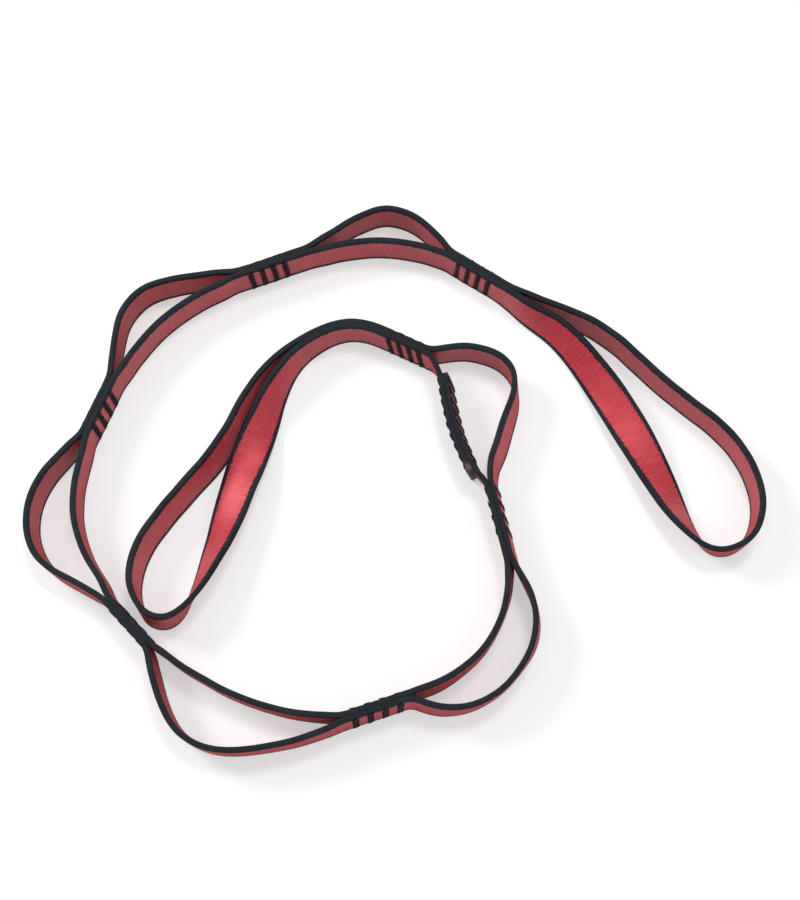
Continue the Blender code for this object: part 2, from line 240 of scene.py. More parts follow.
@dataclass(frozen=True)
class WebbingSize:
    """The webbing's cross-section."""

    width: float = 0.016  # From edge to edge
    thickness: float = 0.0024  # From face to face
    rounding: float = 0.0007  # How far in from an edge its rounding starts
    edge_flat_share: float = 0.6  # The flat of an edge, as a share of the thickness
    strand_gap: float = 0.0006  # Between the two strands of a seam
    sag_share: float = 0.406  # The lowest that the middle sinks, as a share of the width

    def corners(self) -> list[tuple[float, float]]:
        """The corners of one edge's rounding as (thickness, width) points."""
        face, edge = self.thickness / 2, self.width / 2
        return [(face, edge - self.rounding), (face * self.edge_flat_share, edge)]

    def rest_height(self, roll: float) -> float:
        """How high the middle is when the lowest edge touches the surface, at a roll in radians."""
        reach = [abs(x * math.sin(roll)) + abs(y * math.cos(roll)) for x, y in self.corners()]
        return max(*reach, self.sag_share * self.width)


@dataclass(frozen=True)
class TackSize:
    """The rows of bar tacks at the joints and at the splice."""

    per_joint: int = 4  # Tacks in a joint's row
    spacing: float = 0.0055  # The usual spacing of a joint's tacks
    splice_count: int = 9  # Tacks of the splice
    splice_spacing: float = 0.0050  # Between the tacks of the splice
    width: float = 0.0019  # Of one tack's bar
    setback: float = 0.0006  # From a bar's end to the edge of the webbing
    lead: float = 0.003  # How far the strands stay side by side past the last tack


@dataclass
class StrapPlan:
    """The way that the webbing takes over the floor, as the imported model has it."""

    webbing: WebbingSize = field(default_factory=WebbingSize)
    tack: TackSize = field(default_factory=TackSize)
    pitch: float = 0.100  # The mean distance between joints
    span_steps: int = 36  # Straight steps that a curve has between two of its points
    # From the plan's own origin to the frame's
    shift: Vector = field(default_factory=lambda: Vector((0, 0, 0)))

    def __post_init__(self) -> None:
        """Lines the plan up with the frame by the middle of the webbing's box."""
        half = self.webbing.thickness / 2
        places = [station.place for station in self.even_stations(self.webbing.thickness)]
        low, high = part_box("webbing")
        for axis in range(2):
            least = min(place[axis] for place in places) - half
            most = max(place[axis] for place in places) + half
            self.shift[axis] = (low[axis] + high[axis] - least - most) / 2

    def points(self, shares: Sequence[RoutePoint]) -> list[RoutePoint]:
        """Route points in metres and radians, from a table of shares and degrees."""
        return [(x * self.pitch, y * self.pitch, math.radians(roll)) for x, y, roll in shares]

    def smooth(self, points: Sequence[RoutePoint]) -> list[Vector]:
        """A centripetal curve through route points.

        Args:
            points: The (x, y, roll) points that it passes through.

        Returns:
            The curve as many close points.
        """
        knots = [Vector(point) for point in points]
        knots = [2 * knots[0] - knots[1], *knots, 2 * knots[-1] - knots[-2]]
        curve = []
        for p0, p1, p2, p3 in zip(knots, knots[1:], knots[2:], knots[3:]):
            t1 = math.sqrt((p1 - p0).xy.length)
            t2 = t1 + math.sqrt((p2 - p1).xy.length)
            t3 = t2 + math.sqrt((p3 - p2).xy.length)
            for step in range(self.span_steps):
                t = t1 + (t2 - t1) * step / self.span_steps
                a1 = p0.lerp(p1, t / t1)
                a2 = p1.lerp(p2, (t - t1) / (t2 - t1))
                a3 = p2.lerp(p3, (t - t2) / (t3 - t2))
                b1 = a1.lerp(a2, t / t2)
                b2 = a2.lerp(a3, (t - t1) / (t3 - t1))
                curve.append(b1.lerp(b2, (t - t1) / (t2 - t1)))
        return [*curve, knots[-2]]

    def seam_ends(self, joint: Joint) -> tuple[float, float]:
        """Where a joint's seam starts and ends, along its heading from the joint's own place.

        Args:
            joint: The joint.

        Returns:
            The two distances, in metres.
        """
        row = self.pitch * joint.row_share
        length = (self.tack.per_joint - 1) * self.tack.spacing * joint.spacing_share + self.tack.width
        reach = length / 2 + self.tack.lead
        return min(0.0, row) - reach, max(0.0, row) + reach

    def joint_seam(self, name: str) -> list[RoutePoint]:
        """The middle line of a joint, which runs a lead past its place and its row of tacks.

        Args:
            name: The joint.

        Returns:
            The middle line as route points.
        """
        joint = JOINT_SHARES[name]
        heading = math.radians(joint.heading)
        along = Vector((math.cos(heading), math.sin(heading)))
        middle = Vector((joint.across_share, joint.along_share)) * self.pitch
        start, end = self.seam_ends(joint)
        places = (start, start + self.tack.lead, 0, end - self.tack.lead, end)
        return [(*(middle + place * along), math.radians(joint.lean)) for place in places]

    def strand(self, seam: Sequence[RoutePoint], side: Strand) -> list[RoutePoint]:
        """One of a seam's two strands.

        Args:
            seam: The seam's middle line.
            side: Which of its strands.

        Returns:
            The strand's own middle line.
        """
        knots = [Vector(point) for point in seam]
        found = []
        for before, point, after in zip([knots[0], *knots], knots, [*knots[1:], knots[-1]]):
            along = (after - before).xy.normalized()
            left = Vector((-along.y, along.x))
            half = (self.webbing.thickness + self.webbing.strand_gap) / 2
            offset = side.value * half / math.cos(point.z)
            found.append((*(point.xy + offset * left), point.z))
        return found

    def through(self, leg: Leg) -> list[RoutePoint]:
        """The strand of a leg through its joint, in the way that the webbing travels there.

        Args:
            leg: The leg.

        Returns:
            The strand's middle line.
        """
        outer = JOINT_SHARES[leg.joint].outer
        points = self.strand(self.joint_seam(leg.joint), outer if leg.outer else outer.other)
        if leg.back:
            points = [(x, y, -lean) for x, y, lean in reversed(points)]
        return [(x, y, lean - math.pi) for x, y, lean in points] if leg.outer else points

    def route(self) -> list[RoutePoint]:
        """The whole way that the webbing takes, from its first cut end to its second.

        Returns:
            The route points.
        """
        splice = self.points(SPLICE_SHARES)
        way = [*self.strand(splice, Strand.LEFT), *self.points(SPLICE_TO_G_SHARES)]
        for leg in LEGS:
            way += [*self.through(leg), *self.points(leg.shares)]
        return [*way, *self.strand(splice, Strand.RIGHT)]

    def station(self, point: Vector, along: Vector, travelled: float) -> Station:
        """The station at a point of the curve.

        Args:
            point: The point as (x, y, roll).
            along: The way that the curve runs there.
            travelled: The webbing's length up to there.

        Returns:
            The station, at the height that rests the webbing on the surface.
        """
        up = Vector((0, 0, 1))
        left = up.cross(along)
        wide = math.cos(point.z) * up + math.sin(point.z) * left
        place = Vector((point.x, point.y, self.webbing.rest_height(point.z))) + self.shift
        return Station(place, along, wide, along.cross(wide), travelled)

    def even_stations(self, step: float) -> list[Station]:
        """Stations at even distances along the whole webbing.

        Args:
            step: The distance wanted, which is changed a little to divide the length.

        Returns:
            The stations, an even number of steps from end to end.
        """
        curve = self.smooth(self.route())
        length = sum((there - here).xy.length for here, there in zip(curve, curve[1:]))
        count = 2 * round(length / step / 2)
        step = length / count
        stations: list[Station] = []
        travelled = 0.0
        for before, here, there in zip([curve[0], *curve], curve, curve[1:]):
            span = (there - here).xy.length
            while len(stations) * step <= travelled + span and len(stations) < count:
                share = (len(stations) * step - travelled) / span
                came, goes = (here - before).xy.normalized(), (there - here).xy.normalized()
                along = came.lerp(goes, 0.5 + share / 2).normalized().to_3d()
                stations.append(self.station(here.lerp(there, share), along, len(stations) * step))
            travelled += span
        along = (curve[-1] - curve[-2]).xy.normalized().to_3d()
        return [*stations, self.station(curve[-1], along, length)]

    def row_stations(
        self, name: str, seam: Sequence[RoutePoint], middle: float | None, count: int, spacing: float,
    ) -> dict[str, Station]:
        """The name and station of each tack in a row.

        Args:
            name: What the tacks' names begin with.
            seam: The seam's middle line.
            middle: How far along the seam the row's middle is, or None for the seam's own middle.
            count: How many tacks it has.
            spacing: The distance between them.

        Returns:
            The stations on the middle line, by the name of their tack.
        """
        curve = self.smooth(seam)
        total = sum((there - here).xy.length for here, there in zip(curve, curve[1:]))
        middle = total / 2 if middle is None else middle
        found = {}
        for number in range(count):
            target = middle + (number - (count - 1) / 2) * spacing
            for here, there in zip(curve, curve[1:]):
                span = (there - here).xy.length
                if target <= span:
                    break
                target -= span
            along = (there - here).xy.normalized().to_3d()
            found[f"{name}_{number + 1}"] = self.station(here.lerp(there, target / span), along, 0)
        return found

    def tack_stations(self) -> dict[str, Station]:
        """Where every bar tack is.

        Returns:
            The stations by the name of their tack.
        """
        tack, splice = self.tack, self.points(SPLICE_SHARES)
        found = self.row_stations("splice_tack", splice, None, tack.splice_count, tack.splice_spacing)
        for name, joint in JOINT_SHARES.items():
            middle = self.pitch * joint.row_share - self.seam_ends(joint)[0]
            spacing = tack.spacing * joint.spacing_share
            row = self.row_stations(f"tack_{name}", self.joint_seam(name), middle, tack.per_joint, spacing)
            found |= {key: station.turned(math.radians(joint.slant)) for key, station in row.items()}
        return found


class Graph:
    """A small writer of shader nodes."""

    def __init__(self, tree: bpy.types.NodeTree) -> None:
        """Starts writing in the tree of a material, a world or a group."""
        self.tree = tree

    def node(self, kind: str, inputs: dict[Any, Any] | None = None, **values: Any) -> Node:
        """A new node.

        Args:
            kind: The node's type.
            inputs: What it is fed with.
            **values: What its own properties are set to.

        Returns:
            The node.
        """
        made = self.tree.nodes.new(kind)
        for name, value in values.items():
            setattr(made, name, value)
        return self.feed(made, inputs or {})

    def feed(self, node: Node, inputs: dict[Any, Any]) -> Node:
        """Sets or links a node's inputs.

        Args:
            node: The node.
            inputs: A value or an output socket for each input, by name or place.

        Returns:
            The same node.
        """
        for name, value in inputs.items():
            socket = node.inputs[name]
            if isinstance(value, Socket):
                self.tree.links.new(value, socket)
            else:
                socket.default_value = value
        return node

    def math(self, operation: str, first: Any, second: Any = 0.0, clamp: bool = False) -> Socket:
        """What a Math node makes of two values or sockets, kept from 0 to 1 where clamp asks for it."""
        inputs = {0: first, 1: second}
        return self.node("ShaderNodeMath", inputs, operation=operation, use_clamp=clamp).outputs[0]

    def remap(self, value: Any, source: Span, target: Span) -> Socket:
        """A value moved smoothly from one range to another, and held at its ends."""
        inputs = dict(enumerate((value, *source, *target)))
        return self.node("ShaderNodeMapRange", inputs, interpolation_type="SMOOTHSTEP").outputs["Result"]

    def blend(self, share: Any, first: Any, second: Any) -> Socket:
        """Two colours or sockets mixed, with that share of the second."""
        return self.node("ShaderNodeMix", {0: share, 6: first, 7: second}, data_type="RGBA").outputs[2]

    def noise(self, place: Any, scale: float, detail: float = 2.0) -> Socket:
        """Soft noise as a value round a half."""
        inputs = {"Vector": place, "Scale": scale, "Detail": detail}
        return self.node("ShaderNodeTexNoise", inputs).outputs["Fac"]

    def stretch(self, place: Any, scale: Colour) -> Socket:
        """A place scaled by its own number along each axis."""
        return self.node("ShaderNodeVectorMath", {0: place, 1: scale}, operation="MULTIPLY").outputs[0]

    def split(self, place: Any) -> Outputs:
        """A place's three numbers, as the outputs X, Y and Z."""
        return self.node("ShaderNodeSeparateXYZ", {0: place}).outputs

    def seen(self) -> Socket:
        """What the camera sees, also in gloss and through glass.

        Returns:
            A socket that is 1 there and 0 where the lamps' light bounces.
        """
        rays = self.node("ShaderNodeLightPath").outputs
        direct = self.math("MAXIMUM", rays["Is Camera Ray"], rays["Is Glossy Ray"])
        return self.math("MAXIMUM", direct, rays["Is Transmission Ray"])


def rgba(colour: Colour) -> tuple[float, float, float, float]:
    """A colour with full alpha."""
    return (*colour, 1.0)


@dataclass(frozen=True)
class WovenRelief:
    """The shared effect of plain weave in filament yarn, as a node group."""

    name: str = "woven_relief"
    crossing: float = 0.5  # How much lower a warp yarn is where it dives under a weft
    fullness: float = 0.6  # The power that flattens a yarn's round top
    filament_share: float = 0.22  # How much of the relief is single filaments
    # The filaments' noise along, across and through the webbing
    filament_scale: Colour = (420.0, 7200.0, 7200.0)

    def group(self) -> bpy.types.NodeTree:
        """The node group, which is made once.

        Returns:
            The group, with inputs Place, Rib Pitch and Yarn Pitch and outputs Height, Filament and Valley.
        """
        if self.name in bpy.data.node_groups:
            return bpy.data.node_groups[self.name]
        tree = bpy.data.node_groups.new(self.name, "ShaderNodeTree")
        tree.interface.new_socket("Place", in_out="INPUT", socket_type="NodeSocketVector")
        ways = dict.fromkeys(("Rib Pitch", "Yarn Pitch"), "INPUT")
        ways |= dict.fromkeys(("Height", "Filament", "Valley"), "OUTPUT")
        for name, way in ways.items():
            tree.interface.new_socket(name, in_out=way, socket_type="NodeSocketFloat")
        graph = Graph(tree)
        source = graph.node("NodeGroupInput").outputs
        split = graph.split(source["Place"])
        yarn = graph.math("DIVIDE", split["Y"], source["Yarn Pitch"])
        parity = graph.math("FLOORED_MODULO", graph.math("FLOOR", yarn), 2)
        rib = graph.math("DIVIDE", split["X"], source["Rib Pitch"])
        crest = graph.math("COSINE", graph.math("MULTIPLY", rib, math.tau))
        valley = graph.math("MULTIPLY", graph.math("SUBTRACT", 1.0, crest), 0.5)
        rib = graph.math("ADD", rib, graph.math("MULTIPLY", parity, 0.5))
        wave = graph.math("COSINE", graph.math("MULTIPLY", rib, math.tau))
        wave = graph.math("MULTIPLY_ADD", wave, self.crossing / 2)
        wave.node.inputs[2].default_value = 1 - self.crossing / 2
        crown = graph.math("ABSOLUTE", graph.math("SINE", graph.math("MULTIPLY", yarn, math.pi)))
        crown = graph.math("POWER", crown, self.fullness)
        filament = graph.noise(graph.stretch(source["Place"], self.filament_scale), 1.0)
        height = graph.math("MULTIPLY", crown, wave)
        shares = {0: self.filament_share, 2: height, 3: filament}
        blend = graph.node("ShaderNodeMix", shares, data_type="FLOAT")
        results = {"Height": blend.outputs[0], "Filament": filament, "Valley": valley}
        graph.node("NodeGroupOutput", results)
        return tree

    def place(self, graph: Graph, place: Any, rib_pitch: float, yarn_pitch: float) -> Outputs:
        """The effect's outputs in a material, for a place on cloth of those rib and yarn pitches."""
        inputs = {"Place": place, "Rib Pitch": rib_pitch, "Yarn Pitch": yarn_pitch}
        return graph.node("ShaderNodeGroup", inputs, node_tree=self.group()).outputs


class Finish:
    """What every finish shares: a material with one Principled shader."""

    @staticmethod
    def start(name: str) -> tuple[Material, Graph, Node]:
        """A new material.

        Args:
            name: The material's name.

        Returns:
            The material, its graph and its shader.
        """
        made = bpy.data.materials.new(name)
        made.use_nodes = True
        return made, Graph(made.node_tree), made.node_tree.nodes["Principled BSDF"]

    @staticmethod
    def bump(graph: Graph, shader: Node, height: Any, distance: float, strength: float) -> None:
        """Gives a shader the relief of a height socket, which stands that distance high."""
        relief = {"Height": height, "Distance": distance, "Strength": strength}
        graph.feed(shader, {"Normal": graph.node("ShaderNodeBump", relief).outputs[0]})


@dataclass(frozen=True)
class NylonFinish(Finish):
    """Woven nylon: ribs, yarns and filaments, painted shade between the ribs, glossy where it faces the eye,
    and a scorched first end.
    """

    name: str
    colour: Colour  # The yarn where it lies open to the light
    painted_shade: Colour  # Painted shade: the yarn's colour darkened where it lies down between two ribs
    faded: Colour  # The yarn where its colour is a little washed out
    weft_and_glint: Colour  # The weft where it shows between the warp yarns, partly its own colour and, lighter on the red body, partly a painted highlight
    fleck_share: float  # How much of the weft shows
    roughness: float
    specular: float  # How strongly it reflects
    tint: Colour  # The colour that it reflects in, where it faces the light
    rib_pitch: float  # Between two weft ribs
    yarn_pitch: float = 0.00062  # Between two warp yarns
    relief: float = 0.00008  # The height of the fine relief
    furrow_shade: float = 0.42  # How much painted shade darkens the furrows between the ribs
    graze: float = 0.38  # How much its gloss dulls where it is seen along its face
    scorch: Colour = (0.10, 0.085, 0.080)  # The colour of the yarn that the flame reached
    scorch_reach: float = 0.0042  # How far from the first end it reached
    patch_scale: float = 60.0  # The noise of the washed-out patches
    # The noise of the flecks along, across and through the webbing
    fleck_scale: Colour = (700.0, 1900.0, 1900.0)
    streak_scale: Colour = (1400.0, 60.0, 60.0)  # The same for the single yarns that look faded
    scorch_scale: float = 900.0  # The noise of the scorch's border
    dulling: float = 0.14  # How much rougher the yarn is down in the weave
    relief_strength: float = 0.9  # How much of the fine relief shows

    def material(self) -> Material:
        """The finish as a material.

        Returns:
            The material, with its nodes.
        """
        made, graph, shader = self.start(self.name)
        cloth = graph.node("ShaderNodeAttribute", attribute_name=PLACE_ATTRIBUTE).outputs["Vector"]
        room = graph.node("ShaderNodeTexCoord").outputs["Object"]
        weave = WovenRelief().place(graph, cloth, self.rib_pitch, self.yarn_pitch)
        patch = graph.remap(graph.noise(room, self.patch_scale, 3.0), (0.35, 0.7), (0.0, 0.6))
        colour = graph.blend(patch, rgba(self.colour), rgba(self.faded))
        # Painted shade: the colour darkens where the weave lies low and in the furrows between the ribs.
        low = graph.remap(weave["Height"], (0.1, 0.75), (0.55, 0.0))
        furrow_shade = graph.remap(weave["Valley"], (0.35, 1.0), (0.0, self.furrow_shade))
        colour = graph.blend(graph.math("ADD", low, furrow_shade, clamp=True), colour, rgba(self.painted_shade))
        # Flecks in the rib valleys: the red weft's own colour on the black selvedge, a painted highlight on
        # the red body.
        spot = graph.noise(graph.stretch(cloth, self.fleck_scale), 1.0)
        least = 0.66 - 0.3 * self.fleck_share
        spot = graph.remap(spot, (least, least + 0.1), (0.0, 0.85))
        spot = graph.math("MULTIPLY", spot, graph.remap(weave["Valley"], (0.2, 0.7), (0.0, 1.0)))
        colour = graph.blend(spot, colour, rgba(self.weft_and_glint))
        streak = graph.noise(graph.stretch(cloth, self.streak_scale), 1.0, 1.0)
        streak = graph.remap(streak, (0.4, 0.75), (0.0, 0.5))
        filament = graph.remap(weave["Filament"], (0.25, 0.75), (0.0, 0.2))
        colour = graph.blend(graph.math("ADD", streak, filament), colour, rgba(self.faded))
        ragged = graph.math("MULTIPLY", graph.noise(room, self.scorch_scale), self.scorch_reach)
        burn = graph.math("ADD", graph.split(cloth)["X"], ragged)
        burn = graph.remap(burn, (self.scorch_reach, 1.5 * self.scorch_reach), (0.9, 0.0))
        colour = graph.blend(burn, colour, rgba(self.scorch))
        facing = graph.node("ShaderNodeLayerWeight").outputs["Facing"]
        graze = graph.remap(facing, (0.5, 0.9), (0.0, self.graze))
        rough = graph.remap(weave["Height"], (0.1, 0.8), (self.roughness + self.dulling, self.roughness))
        rough = graph.math("ADD", rough, graze, clamp=True)
        graph.feed(shader, {"Base Color": colour, "Roughness": rough})
        graph.feed(shader, {"Specular IOR Level": self.specular, "Specular Tint": rgba(self.tint)})
        self.bump(graph, shader, weave["Height"], self.relief, self.relief_strength)
        return made


@dataclass(frozen=True)
class ThreadFinish(Finish):
    """Bonded sewing thread: two plies twisted together."""

    name: str
    colour: Colour = (0.005, 0.008, 0.012)  # The thread where it lies open to the light
    painted_shade: Colour = (0.0015, 0.002, 0.003)  # Painted shade where the thread lies down between its plies
    twist: float = 0.0011  # The length of one turn of a ply
    relief: float = 0.00005  # How far a ply stands out
    relief_strength: float = 0.8  # How much of the relief shows
    ply_share: float = 0.4  # How much of the relief is plies, against single fibres
    fibre_scale: float = 2600.0  # The noise of the fibres
    roughness: Span = (0.42, 0.62)  # Where the thread is smooth and where it is fibrous
    specular: float = 0.2  # How strongly it reflects

    def material(self) -> Material:
        """The finish as a material.

        Returns:
            The material, with its nodes.
        """
        made, graph, shader = self.start(self.name)
        place = graph.node("ShaderNodeAttribute", attribute_name=PLY_ATTRIBUTE).outputs["Vector"]
        room = graph.node("ShaderNodeTexCoord").outputs["Object"]
        split = graph.split(place)
        turn = graph.math("MULTIPLY", split["X"], 2 * math.tau / self.twist)
        first = graph.math("MULTIPLY", graph.math("COSINE", turn), split["Y"])
        second = graph.math("MULTIPLY", graph.math("SINE", turn), split["Z"])
        ply = graph.math("ADD", first, second)
        fibre = graph.noise(room, self.fibre_scale)
        height = graph.math("ADD", graph.math("MULTIPLY", ply, self.ply_share), fibre)
        # Painted shade: the thread darkens where its plies lie low.
        low = graph.remap(height, (0.1, 0.9), (1.0, 0.0))
        colour = graph.blend(low, rgba(self.colour), rgba(self.painted_shade))
        rough = graph.remap(fibre, (0.3, 0.7), self.roughness)
        graph.feed(shader, {"Base Color": colour, "Roughness": rough, "Specular IOR Level": self.specular})
        self.bump(graph, shader, height, self.relief, self.relief_strength)
        return made


@dataclass(frozen=True)
class MeltedFinish(Finish):
    """Nylon that was melted at a cut: glassy, lumpy and darker than the yarn."""

    name: str
    colour: Colour  # Most of it
    char: Colour  # The burnt patches
    char_share: float = 0.5  # How much of it is burnt
    lump_scale: float = 900.0  # The noise of its lumps
    grain_scale: float = 3800.0  # The noise of its grain
    grain_share: float = 0.4  # How much the grain adds to the relief
    relief: float = 0.00018  # The relief's height
    relief_strength: float = 0.8  # How much of the relief shows
    roughness: Span = (0.35, 0.7)  # Where it is glassy and where it is burnt dull

    def material(self) -> Material:
        """The finish as a material.

        Returns:
            The material, with its nodes.
        """
        made, graph, shader = self.start(self.name)
        room = graph.node("ShaderNodeTexCoord").outputs["Object"]
        lumps = graph.noise(room, self.lump_scale, 4.0)
        grain = graph.noise(room, self.grain_scale, 3.0)
        burnt = graph.remap(lumps, (0.6 - self.char_share / 2, 0.75 - self.char_share / 2), (0.0, 1.0))
        colour = graph.blend(burnt, rgba(self.colour), rgba(self.char))
        rough = graph.remap(grain, (0.3, 0.7), self.roughness)
        graph.feed(shader, {"Base Color": colour, "Roughness": rough})
        height = graph.math("ADD", lumps, graph.math("MULTIPLY", grain, self.grain_share))
        self.bump(graph, shader, height, self.relief, self.relief_strength)
        return made


@dataclass(frozen=True)
class FloorFinish:
    """A white sweep that looks evenly white and keeps the object's shadow."""

    name: str = "white_floor"
    colour: Colour = (0.58, 0.584, 0.584)
    lift: float = 0.48  # What a camera ray sees added to the lit floor

    def material(self) -> Material:
        """The finish as a material.

        Returns:
            The material, with its nodes.
        """
        made = bpy.data.materials.new(self.name)
        made.use_nodes = True
        graph = Graph(made.node_tree)
        made.node_tree.nodes.clear()
        lit = graph.node("ShaderNodeBsdfDiffuse", {"Color": rgba(self.colour)})
        lift = graph.math("MULTIPLY", graph.seen(), self.lift)
        glow = graph.node("ShaderNodeEmission", {"Strength": lift})
        both = graph.node("ShaderNodeAddShader", {0: lit.outputs[0], 1: glow.outputs[0]})
        graph.node("ShaderNodeOutputMaterial", {"Surface": both.outputs[0]})
        return made


class SectionPoint(NamedTuple):
    """A point of the webbing's section and the yarn from it to the next point.

    thickness and width are its place. ribbed is how much of the ribs' relief it has across each, and
    toothed is how far the boundary of the two yarns wanders there.
    """

    thickness: float
    width: float
    ribbed: tuple[float, float]
    toothed: float
    yarn: Yarn


def link(name: str, data: bpy.types.ID) -> Object:
    """A new object in the scene, at the origin.

    Args:
        name: The object's name.
        data: Its mesh, lamp or camera.

    Returns:
        The object.
    """
    made = bpy.data.objects.new(name, data)
    bpy.context.scene.collection.objects.link(made)
    return made


def smooth_object(name: str, shape: Shape, finishes: Sequence[Material]) -> Object:
    """A new object of a finished bmesh, with its faces smooth.

    Args:
        name: The object's name.
        shape: The bmesh, which is freed.
        finishes: Its materials, in the order of their slots.

    Returns:
        The object.
    """
    for face in shape.faces:
        face.smooth = True
    mesh = bpy.data.meshes.new(name)
    shape.to_mesh(mesh)
    shape.free()
    for finish in finishes:
        mesh.materials.append(finish)
    return link(name, mesh)


def fasten(made: Object) -> None:
    """Makes a piece ride on the strap's one body."""
    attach(made, ROOT_BODY)


def tree_of(stations: Sequence[Station]) -> kdtree.KDTree:
    """The places of some stations, to look up which is near.

    Args:
        stations: The stations.

    Returns:
        The tree, which knows each by its number.
    """
    tree = kdtree.KDTree(len(stations))
    for number, station in enumerate(stations):
        tree.insert(station.place, number)
    tree.balance()
    return tree


@dataclass
class WebbingBand:
    """The one length of webbing: its ribs, its selvedges and the hollows under its tacks."""

    plan: StrapPlan
    selvedge: float = 0.0020  # The width of the black yarn at each edge, on a face
    rib_pitch: float = 0.0011  # Between two weft ribs
    rib_relief: float = 0.00012  # From a rib's crest down to its valley
    crown: float = 0.00008  # How much the middle of a face stands proud of its sides
    tooth: float = 0.00068  # How far the boundary of the two yarns jumps from rib to rib
    wander: float = 0.00024  # How far the webbing strays to a side between its seams
    wander_length: float = 0.011  # The length of such a stray
    pinch: float = 0.00016  # How deep a bar tack draws a face in
    pinch_reach: float = 0.0014  # How far along from a tack it does so
    close_gap: float = 0.0012  # Strands that lie this close touch
    far_gap: float = 0.0026  # Strands that lie this far apart keep clear
    squeeze: float = 0.0003  # How far two strands that touch press into each other
    easing: float = 0.0028  # How far to each side a corner of the path is rounded
    apart: float = 0.03  # The least length of webbing between two places that count as two strands
    crown_share: float = 0.6  # How much of the crown is left half-way to a selvedge
    shoulder_share: float = 0.94  # How thick the rounding still is at its shoulder
    lip_share: float = 1.2  # How thick it is at the edge, against the edge's flat

    def section(self) -> list[SectionPoint]:
        """The webbing's section.

        Returns:
            Its points, round it from the middle of its left face.
        """
        size = self.plan.webbing
        face, edge = size.thickness / 2, size.width / 2
        flat = face * size.edge_flat_share
        inner = edge - self.selvedge
        shoulder = edge - size.rounding
        slope = (shoulder + 4 * edge) / 5
        quarter = [
            SectionPoint(face + self.crown, 0, (1, 0), 0, Yarn.BODY),
            SectionPoint(face + self.crown * self.crown_share, inner / 2, (1, 0), 0, Yarn.BODY),
            SectionPoint(face, inner, (1, 0), 1, Yarn.SELVEDGE),
            SectionPoint(face, (shoulder + edge) / 2, (0.6, 0.4), 0, Yarn.SELVEDGE),
            SectionPoint(face * self.shoulder_share, slope, (0.5, 0.7), 0, Yarn.SELVEDGE),
            SectionPoint(flat * self.lip_share, edge, (0, 0.8), 0, Yarn.SELVEDGE),
        ]
        mirrored = [
            point._replace(
                thickness=-point.thickness, yarn=Yarn.BODY if abs(point.width) <= inner else point.yarn,
            )
            for point in reversed(quarter[1:])
        ]
        half = [*quarter, *mirrored]
        middle = quarter[0]._replace(thickness=-quarter[0].thickness)
        other = [point._replace(thickness=-point.thickness, width=-point.width) for point in half[1:]]
        return [*half, middle, *other]

    def draw_in(self, station: Station, tree: kdtree.KDTree) -> tuple[float, int]:
        """How much a tack draws the webbing in at a station.

        Args:
            station: The station.
            tree: The places of the bar tacks.

        Returns:
            The depth, and the sign of the face that the tack lies on, as a side of the station.
        """
        spot, _, distance = tree.find(station.place)
        if distance > 2 * self.plan.webbing.thickness:
            return 0.0, 1
        off = station.place - spot
        along = off.dot(station.along)
        side = 1 if off.dot(station.thick) > 0 else -1
        return self.pinch * math.exp(-((along / self.pinch_reach) ** 2)), side

    def stray(self, travelled: float) -> float:
        """How far the webbing strays to a side at that length."""
        return self.wander * noise.noise(Vector((travelled / self.wander_length, *STRAY_SEED)))

    def averaged(self, values: Sequence[Vector], reach: int) -> list[Vector]:
        """Each vector's mean with its neighbours.

        Args:
            values: The vectors.
            reach: How many neighbours on either side, fewer near the ends, which stay as they are.

        Returns:
            As many vectors.
        """
        found = []
        for number in range(len(values)):
            near = min(reach, number, len(values) - 1 - number)
            window = values[number - near:number + near + 1]
            found.append(sum(window, Vector((0, 0, 0))) / len(window))
        return found

    def eased(self, stations: Sequence[Station]) -> list[Station]:
        """The stations with the path's corners rounded, and their axes to match.

        Args:
            stations: The stations of the plan.

        Returns:
            As many stations.
        """
        reach = round(self.easing / stations[1].travelled)
        places = [station.place for station in stations]
        places = self.averaged(self.averaged(places, reach), reach)
        found = []
        befores, afters = [places[0], *places], [*places[1:], places[-1]]
        for station, before, place, after in zip(stations, befores, places, afters):
            along = (after - before).xy.normalized().to_3d()
            wide = (station.wide - station.wide.dot(along) * along).normalized()
            found.append(Station(place, along, wide, along.cross(wide), station.travelled))
        return found

    def pressed_together(self, stations: Sequence[Station]) -> list[Station]:
        """The stations with the two strands of each seam moved until they touch.

        Args:
            stations: The eased stations.

        Returns:
            As many stations, the same but for their places.
        """
        thickness = self.plan.webbing.thickness
        step = stations[1].travelled
        tree = tree_of(stations)
        moves = []
        for number, station in enumerate(stations):
            near = tree.find_range(station.place, thickness + self.far_gap)
            near = [(away, other) for _, other, away in near if abs(other - number) * step > self.apart]
            away, other = min(near, default=(thickness + self.far_gap, number))
            gap = away - thickness + self.squeeze
            share = min(1.0, max(0.0, (self.far_gap - gap) / (self.far_gap - self.close_gap)))
            toward = (stations[other].place - station.place).xy.to_3d()
            moves.append(toward.normalized() * gap / 2 * share)
        moves = self.averaged(moves, round(self.easing / step))
        return [replace(station, place=station.place + move) for station, move in zip(stations, moves)]

    def stations(self) -> list[Station]:
        """The webbing's own stations, half a rib apart."""
        return self.pressed_together(self.eased(self.plan.even_stations(self.rib_pitch / 2)))

